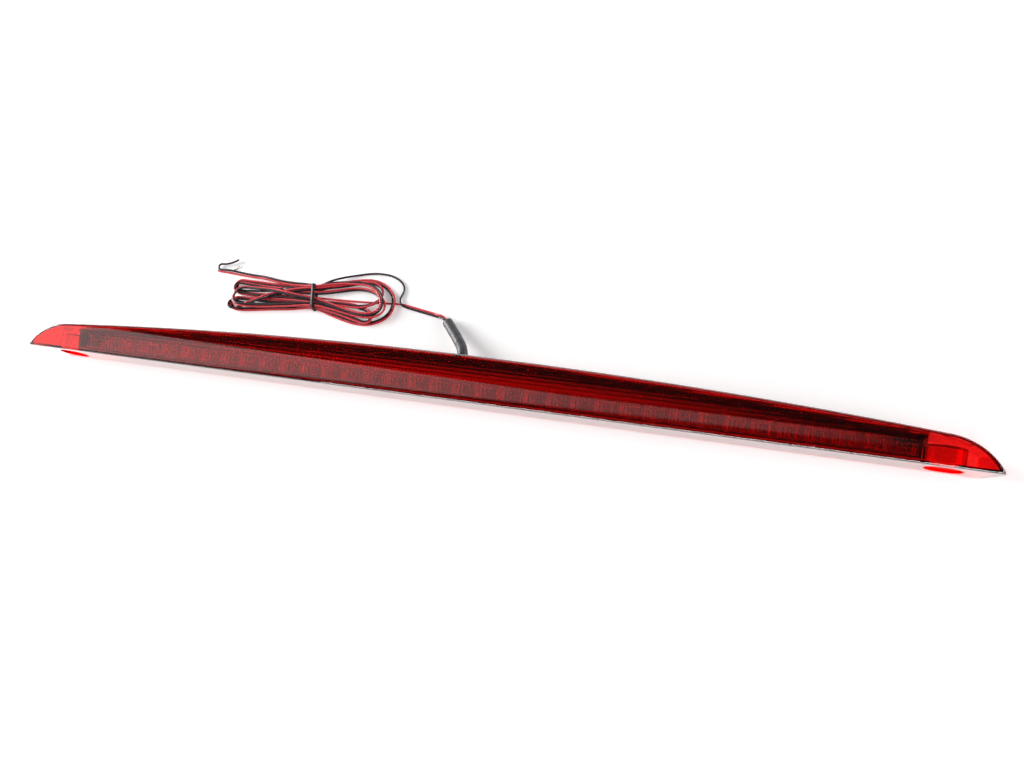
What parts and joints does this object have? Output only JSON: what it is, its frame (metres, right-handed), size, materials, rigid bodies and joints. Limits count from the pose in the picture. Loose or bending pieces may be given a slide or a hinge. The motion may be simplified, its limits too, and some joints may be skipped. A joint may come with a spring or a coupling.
{
  "type": "third brake light",
  "caption": "Slim bow-shaped LED third brake light with a red lens, a black tray, a row of LED cells and a two-core lead tied in a hank.",
  "frame": {"origin": "middle of the flat back face, on the plane that the lamp lies on", "axes": "+X along the lamp, +Y towards its bowed upper edge, +Z the way the light leaves"},
  "size_m": [0.86, 0.1121, 0.038],
  "materials": {
    "red_lens": "clear red moulded acrylic, glossy",
    "black_abs": "moulded black ABS",
    "sealant": "cured black sealant",
    "reflector_plastic": "dark metallised moulding",
    "circuit_board": "white solder resist over glass epoxy",
    "tinned_copper": "tinned copper",
    "led_epoxy": "red tinted epoxy dome",
    "rubber": "moulded rubber",
    "shrink_sleeve": "shrunk polyolefin sleeve",
    "red_pvc": "extruded PVC insulation",
    "black_pvc": "extruded PVC insulation",
    "tie_pvc": "plastic-coated tie"
  },
  "bodies": {
    "root": {"lens_cover": "red_lens", "rear_housing": "black_abs", "perimeter_seal": "sealant", "reflector": "reflector_plastic", "led_board_1": "circuit_board", "led_board_2": "circuit_board", "led_board_3": "circuit_board", "board_link_1": "tinned_copper", "board_link_2": "tinned_copper", "led_01": "led_epoxy", "led_02": "led_epoxy", "led_03": "led_epoxy", "led_04": "led_epoxy", "led_05": "led_epoxy", "led_06": "led_epoxy", "led_07": "led_epoxy", "led_08": "led_epoxy", "led_09": "led_epoxy", "led_10": "led_epoxy", "led_11": "led_epoxy", "led_12": "led_epoxy", "led_13": "led_epoxy", "led_14": "led_epoxy", "led_15": "led_epoxy", "led_16": "led_epoxy", "led_17": "led_epoxy", "led_18": "led_epoxy", "led_19": "led_epoxy", "led_20": "led_epoxy", "led_21": "led_epoxy", "led_22": "led_epoxy", "led_23": "led_epoxy", "led_24": "led_epoxy", "led_25": "led_epoxy", "led_26": "led_epoxy", "led_27": "led_epoxy", "led_28": "led_epoxy", "led_29": "led_epoxy", "led_30": "led_epoxy", "led_31": "led_epoxy", "led_32": "led_epoxy", "led_33": "led_epoxy", "led_34": "led_epoxy", "led_35": "led_epoxy", "led_36": "led_epoxy", "cable_grommet": "rubber", "feed_wire_red": "red_pvc", "feed_wire_black": "black_pvc", "cable_sleeve": "shrink_sleeve", "lead_red": "red_pvc", "lead_black": "black_pvc", "black_core_loop": "black_pvc", "cable_hank": "red_pvc", "cable_tie": "tie_pvc", "tail_red": "red_pvc", "tail_black": "black_pvc", "red_core_strand": "tinned_copper"}
  },
  "joints": []
}
